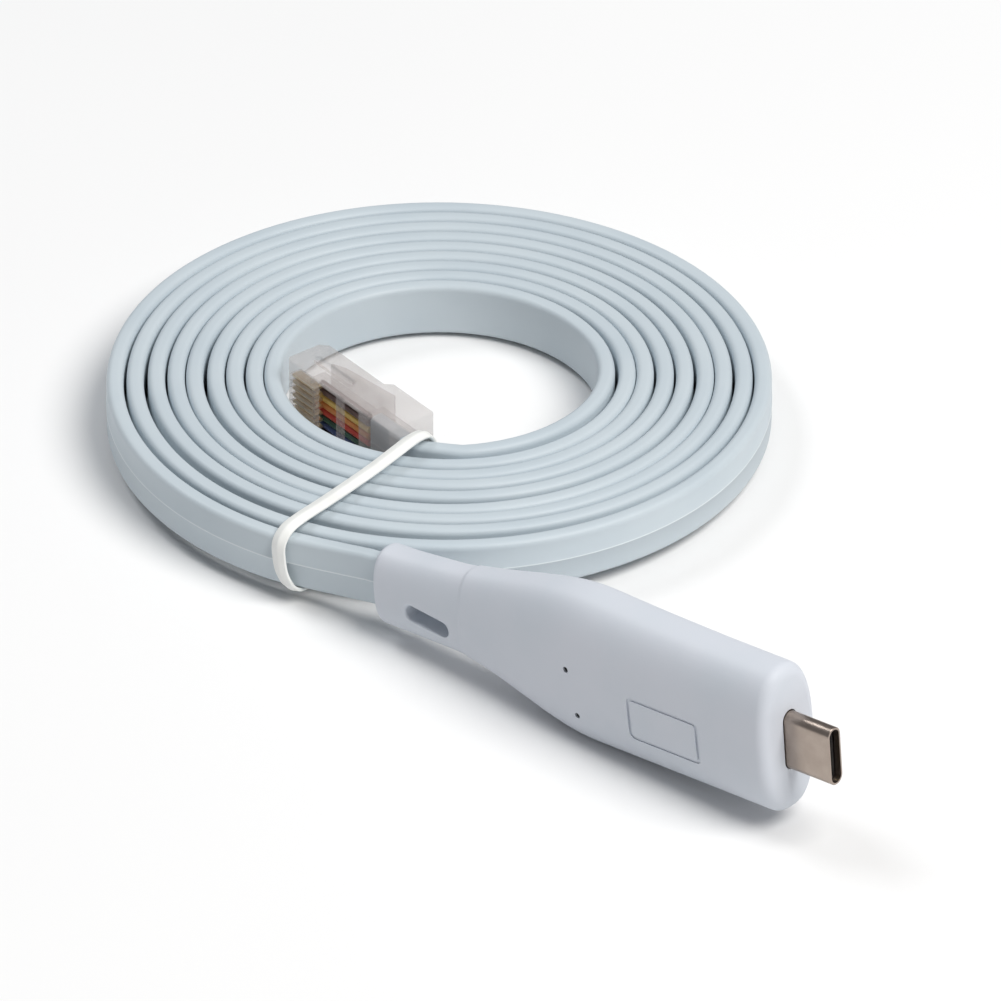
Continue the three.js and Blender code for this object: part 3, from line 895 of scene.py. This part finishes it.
looks = dict(
    jacket=dict(color=srgb(196, 206, 212), shade=srgb(190, 201, 208), cloudScale=0.06, grainScale=9.0,
                grainStretch=(0.04, 1, 1), grainStrength=0.12, grainDepth=0.00003, roughness=0.46,
                roughSpread=0.08),
    # painted highlight: a lighter colour laid on the jacket's raised bead
    beadHighlight=dict(color=srgb(226, 233, 236), share=0.85),
    cover=dict(color=srgb(209, 213, 221), shade=srgb(204, 210, 218), cloudScale=90, grainScale=7000,
               grainStrength=0.18, grainDepth=0.00003, roughness=0.52, roughSpread=0.08),
    shell=dict(color=srgb(170, 157, 147), shade=srgb(162, 149, 139), cloudScale=500, grainScale=2200,
               grainStretch=(0.3, 1, 1), grainStrength=0.02, grainDepth=0.00001, roughness=0.3,
               roughSpread=0.03, metallic=1.0),
    insulator=dict(color=srgb(30, 29, 30), shade=srgb(38, 37, 37), cloudScale=900, grainScale=9000,
                   grainStrength=0.2, grainDepth=0.00002, roughness=0.5, roughSpread=0.1),
    contact=dict(color=srgb(246, 232, 200), shade=srgb(232, 208, 164), cloudScale=900, grainScale=6000,
                 grainStrength=0.08, grainDepth=0.00001, roughness=0.34, roughSpread=0.06, metallic=0.85),
    clear=dict(color=srgb(214, 206, 203), shade=srgb(202, 193, 190), cloudScale=260.0, grainScale=420.0,
               grainStrength=0.25, grainDepth=0.00006, roughness=0.1, ior=1.4, transmission=0.15, alpha=0.3),
    wire=dict(cloudScale=700, grainScale=5000, grainStrength=0.1, grainDepth=0.00002, roughness=0.42,
              roughSpread=0.06),
    tie=dict(color=srgb(246, 247, 244), shade=srgb(238, 239, 236), cloudScale=0.3, grainScale=5.0,
             grainStrength=0.15, grainDepth=0.00003, roughness=0.5, roughSpread=0.1),
    floor=dict(color=srgb(243, 243, 243), shade=srgb(241, 241, 241), cloudScale=4, grainScale=1500,
               grainStrength=0.05, grainDepth=0.00005, roughness=0.8, roughSpread=0.05, specular=0.1),
)
wireColors = [(118, 102, 102), (126, 102, 96), (250, 214, 126), (242, 164, 100),
              (220, 88, 76), (72, 108, 92), (84, 102, 150), (70, 64, 66)]
wireShade = 14  # a conductor's second shade is this much darker


# the bead along the jacket's outer face is painted lighter than the rest, a painted highlight along its
# raised ridge
def jacketMaterial():
    material = plasticMaterial("jacketBlue", looks["jacket"], "cordSpace")
    nodes, links = material.node_tree.nodes, material.node_tree.links
    shader = nodes["Principled BSDF"]
    body = shader.inputs["Base Color"].links[0].from_socket
    split = nodes.new("ShaderNodeSeparateXYZ")
    links.new(surfacePlace(nodes, "cordSpace"), split.inputs["Vector"])
    # painted highlight: the raised bead blends towards the lighter colour
    beadHighlight = nodes.new("ShaderNodeMapRange")
    beadHighlight.inputs["From Min"].default_value = cord["thickness"] / 2
    beadHighlight.inputs["From Max"].default_value = cord["thickness"] / 2 + cord["seamRise"]
    beadHighlight.inputs["To Max"].default_value = looks["beadHighlight"]["share"]
    links.new(split.outputs["Y"], beadHighlight.inputs["Value"])
    mix = nodes.new("ShaderNodeMix")
    mix.data_type = "RGBA"
    mix.inputs[7].default_value = looks["beadHighlight"]["color"]
    links.new(beadHighlight.outputs["Result"], mix.inputs[0])
    links.new(body, mix.inputs[6])
    links.new(mix.outputs[2], shader.inputs["Base Color"])
    return material


def clearMaterial():
    material, nodes, links, shader = newMaterial("clearPlastic")
    look = looks["clear"]
    color = addGroup(nodes, cloudedColor, Scale=look["cloudScale"], Color=look["color"], Shade=look["shade"])
    grain = addGroup(nodes, mouldGrain, Scale=look["grainScale"], Strength=look["grainStrength"],
                     Distance=look["grainDepth"])
    vector = surfacePlace(nodes)
    links.new(vector, color.inputs["Vector"])
    links.new(vector, grain.inputs["Vector"])
    links.new(color.outputs["Color"], shader.inputs["Base Color"])
    links.new(grain.outputs["Normal"], shader.inputs["Normal"])
    shader.inputs["Roughness"].default_value = look["roughness"]
    shader.inputs["IOR"].default_value = look["ior"]
    shader.inputs["Transmission Weight"].default_value = look["transmission"]
    shader.inputs["Alpha"].default_value = look["alpha"]
    return material


def dress(piece, material):
    piece.data.materials.clear()
    piece.data.materials.append(material)


def dressNode(name, material):
    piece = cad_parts[name]
    if not piece.material_slots:
        piece.data.materials.append(material)
    for slot in piece.material_slots:
        slot.material = material


gold = plasticMaterial("goldContact", looks["contact"])
clear = clearMaterial()
dress(flatCord, jacketMaterial())
dress(mouldedHousing, plasticMaterial("coverBlue", looks["cover"]))
dress(metalShell, plasticMaterial("drawnNickel", looks["shell"]))
dress(springContacts, gold)
black = plasticMaterial("blackPlastic", looks["insulator"])
dressNode("usb_c_insulator", black)
# the black fillers in the pinholes are painted shade
dress(pinholeShadeFillers, black)
dress(plugBody, clear)
dress(latchLever, clear)
dress(wireTie, plasticMaterial("tieWhite", looks["tie"], "tieSpace"))
for way, color in enumerate(wireColors):
    darker = srgb(*[max(part - wireShade, 0) for part in color])
    look = dict(looks["wire"], color=srgb(*color), shade=darker)
    dress(conductorPieces[way], plasticMaterial("wireCover" + str(way + 1), look))
    dressNode("rj45_contact_" + str(way + 1), gold)
print("materials set")


def stand(piece, nodes):
    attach(piece, "root")
    if nodes:
        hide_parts(*nodes)


stand(flatCord, ["cable_coil", "cable_tail", "cable_start"])
stand(mouldedHousing, ["usb_housing"])
stand(metalShell, ["usb_c_shell"])
stand(springContacts, [])
stand(pinholeShadeFillers, [])
stand(plugBody, ["rj45_plug_body"])
stand(latchLever, ["rj45_plug_body"])
stand(wireTie, ["coil_tie"])
for way, piece in enumerate(conductorPieces):
    stand(piece, ["wire_" + str(way + 1)])
onCord = [plugBody, latchLever, wireTie] + conductorPieces
onCord += [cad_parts["rj45_contact_" + str(way + 1)] for way in range(clearPlug["ways"])]


# pale floor, a soft key lamp from the upper right and a weaker one from the left
studio = dict(
    floorSize=3.0, middle=(-30, 25, 0), worldColor=srgb(248, 250, 255), worldStrength=0.24,
    # azimuth, elevation, distance, size, power, colour
    lamps=dict(
        key=(8.0, 57.0, 1.3, 0.9, 16.0, (1.0, 0.985, 0.96)),
        fill=(-176.0, 50.0, 1.5, 0.6, 6.0, (0.95, 0.975, 1.0)),
    ),
)


def makeFloor():
    bm = bmesh.new()
    bmesh.ops.create_grid(bm, x_segments=1, y_segments=1, size=studio["floorSize"])
    floor = finishPiece("floor", bm)
    if floor.data.polygons[0].normal.z < 0:
        floor.data.flip_normals()
    dress(floor, plasticMaterial("paleFloor", looks["floor"]))


def makeLamp(name, azimuth, elevation, distance, size, power, color):
    data = bpy.data.lights.new(name, "AREA")
    data.shape = "DISK"
    data.size = size
    data.energy = power
    data.color = color
    lamp = bpy.data.objects.new(name, data)
    angle, height = math.radians(azimuth), math.radians(elevation)
    centre = Vector(studio["middle"]) * mm
    away = Vector((math.cos(angle) * math.cos(height), math.sin(angle) * math.cos(height), math.sin(height)))
    lamp.location = centre + away * distance
    lamp.rotation_euler = (centre - lamp.location).to_track_quat("-Z", "Y").to_euler()
    bpy.context.scene.collection.objects.link(lamp)


def makeWorld():
    world = bpy.data.worlds.new("studio")
    world.use_nodes = True
    background = world.node_tree.nodes["Background"]
    background.inputs["Color"].default_value = studio["worldColor"]
    background.inputs["Strength"].default_value = studio["worldStrength"]
    bpy.context.scene.world = world


makeFloor()
for name, lamp in studio["lamps"].items():
    makeLamp(name, *lamp)
makeWorld()
bpy.context.scene.view_settings.view_transform = "Standard"
print("studio ready")
